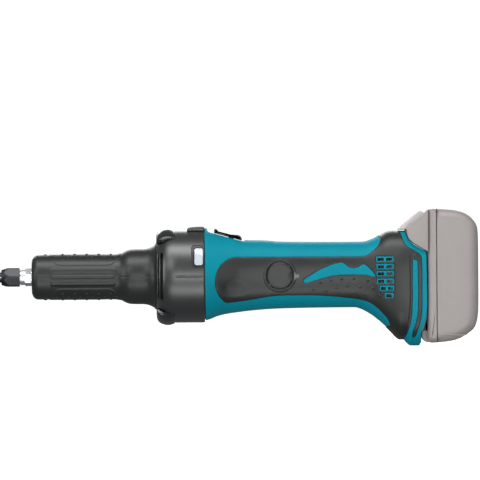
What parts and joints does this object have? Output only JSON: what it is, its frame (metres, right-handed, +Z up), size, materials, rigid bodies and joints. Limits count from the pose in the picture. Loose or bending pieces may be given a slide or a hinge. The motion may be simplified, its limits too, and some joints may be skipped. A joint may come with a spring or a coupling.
{
  "type": "die grinder",
  "caption": "Cordless straight die grinder: collet and spindle in a slim neck, fan drum, soft-grip handle with slide switch, slide-on battery pack.",
  "frame": {"origin": "centre of the collet's mouth, on the spindle axis", "axes": "+X along the spindle axis from the collet to the battery, +Z up on the slide switch side, -Y the operator's left"},
  "size_m": [0.4065, 0.0788, 0.1163],
  "materials": {
    "teal_shell": "satin",
    "black_rubber": "matte",
    "black_plastic": "satin",
    "guard_plastic": "gloss",
    "bright_steel": "brushed",
    "black_steel": "black oxide",
    "cast_aluminium": "cast",
    "felt": "matte",
    "clear_lens": "clear",
    "copper": "enamelled",
    "brass": "bright",
    "carbon": "matte",
    "circuit_board": "satin",
    "lead_red": "satin",
    "lead_black": "satin",
    "pack_grey": "satin",
    "pack_light": "satin",
    "cell_wrap": "satin"
  },
  "bodies": {
    "housing": {"spindle_bearing_outers": "bright_steel", "bearing_box": "cast_aluminium", "front_retainer": "bright_steel", "dust_seal": "felt", "neck_sleeve": "black_rubber", "front_screws": "black_steel", "fan_housing": "black_plastic", "exhaust_guards": "guard_plastic", "window_bezel": "black_plastic", "window_lens": "clear_lens", "baffle_plate": "black_plastic", "motor_bearing_outers": "bright_steel", "motor_yoke": "black_steel", "motor_magnets": "black_plastic", "end_bracket": "black_plastic", "brush_holder_left": "brass", "brush_holder_right": "brass", "brush_spring_left": "bright_steel", "brush_spring_right": "bright_steel", "brush_cap_left": "black_plastic", "brush_cap_right": "black_plastic", "housing_left": "teal_shell", "housing_right": "teal_shell", "grip_skin_left": "black_rubber", "grip_skin_right": "black_rubber", "housing_screws": "black_steel", "switch_unit": "black_plastic", "controller": "circuit_board", "terminal_block": "black_plastic", "terminals": "brass", "lead_red": "lead_red", "lead_black": "lead_black"},
    "spindle": {"spindle": "bright_steel", "spindle_bearing_inners": "bright_steel", "coupling": "black_plastic", "motor_shaft": "bright_steel", "motor_bearing_inners": "bright_steel", "armature_core": "bright_steel", "windings": "copper", "commutator": "copper", "fan": "black_plastic"},
    "battery": {"battery_front_case": "pack_grey", "battery_rear_case": "pack_grey", "battery_cells": "cell_wrap", "battery_board": "circuit_board", "battery_contacts": "brass"},
    "spindle_balls": {"spindle_bearing_balls": "bright_steel"},
    "motor_balls": {"motor_bearing_balls": "bright_steel"},
    "collet": {"collet": "bright_steel"},
    "collet_nut": {"collet_nut": "black_steel"},
    "switch_knob": {"switch_knob": "black_plastic"},
    "switch_rod": {"switch_rod": "black_plastic"},
    "brush_left": {"brush_left": "carbon"},
    "brush_right": {"brush_right": "carbon"},
    "cap_cover_left": {"cap_cover_left": "black_rubber"},
    "cap_cover_right": {"cap_cover_right": "black_rubber"},
    "battery_latch": {"battery_latch": "pack_light"}
  },
  "joints": [
    {"name": "spindle_turn", "type": "hinge", "parent": "housing", "child": "spindle", "pos_m": [0.06, 0, 0], "axis": [1, 0, 0], "continuous": true},
    {"name": "spindle_balls_turn", "type": "hinge", "parent": "housing", "child": "spindle_balls", "pos_m": [0.06, 0, 0], "axis": [1, 0, 0], "continuous": true},
    {"name": "motor_balls_turn", "type": "hinge", "parent": "housing", "child": "motor_balls", "pos_m": [0.06, 0, 0], "axis": [1, 0, 0], "continuous": true},
    {"name": "collet_release", "type": "slide", "parent": "spindle", "child": "collet", "axis": [-1, 0, 0], "range_m": [0, 0.00187]},
    {"name": "nut_turn", "type": "hinge", "parent": "collet", "child": "collet_nut", "pos_m": [0.01, 0, 0], "axis": [-1, 0, 0], "range_deg": [0, 540.2]},
    {"name": "switch_slide", "type": "slide", "parent": "housing", "child": "switch_knob", "axis": [-0.9627, 0, 0.2706], "range_m": [0, 0.006]},
    {"name": "switch_rod_slide", "type": "slide", "parent": "housing", "child": "switch_rod", "axis": [-1, 0, 0], "range_m": [0, 0.0058]},
    {"name": "brush_left_slide", "type": "slide", "parent": "housing", "child": "brush_left", "axis": [0, -1, 0], "range_m": [0, 0.0025], "stiffness_N_per_m": 300, "springref_m": -0.01, "deforming": ["brush_spring_left"]},
    {"name": "brush_right_slide", "type": "slide", "parent": "housing", "child": "brush_right", "axis": [0, 1, 0], "range_m": [0, 0.0025], "stiffness_N_per_m": 300, "springref_m": -0.01, "deforming": ["brush_spring_right"]},
    {"name": "cap_cover_left_pull", "type": "slide", "parent": "housing", "child": "cap_cover_left", "axis": [0, -1, 0], "range_m": [0, 0.012]},
    {"name": "cap_cover_right_pull", "type": "slide", "parent": "housing", "child": "cap_cover_right", "axis": [0, 1, 0], "range_m": [0, 0.012]},
    {"name": "battery_slide", "type": "slide", "parent": "housing", "child": "battery", "axis": [0, 0, 1], "range_m": [0, 0.105]},
    {"name": "latch_press", "type": "slide", "parent": "battery", "child": "battery_latch", "axis": [1, 0, 0], "range_m": [0, 0.003], "stiffness_N_per_m": 500}
  ],
  "couplings": [
    {"joint": "spindle_balls_turn", "follows": "spindle_turn", "ratio": 0.381},
    {"joint": "motor_balls_turn", "follows": "spindle_turn", "ratio": 0.368},
    {"joint": "nut_turn", "follows": "collet_release", "rad_per_m": 5026.6},
    {"joint": "switch_rod_slide", "follows": "switch_slide", "ratio": 0.96269}
  ]
}
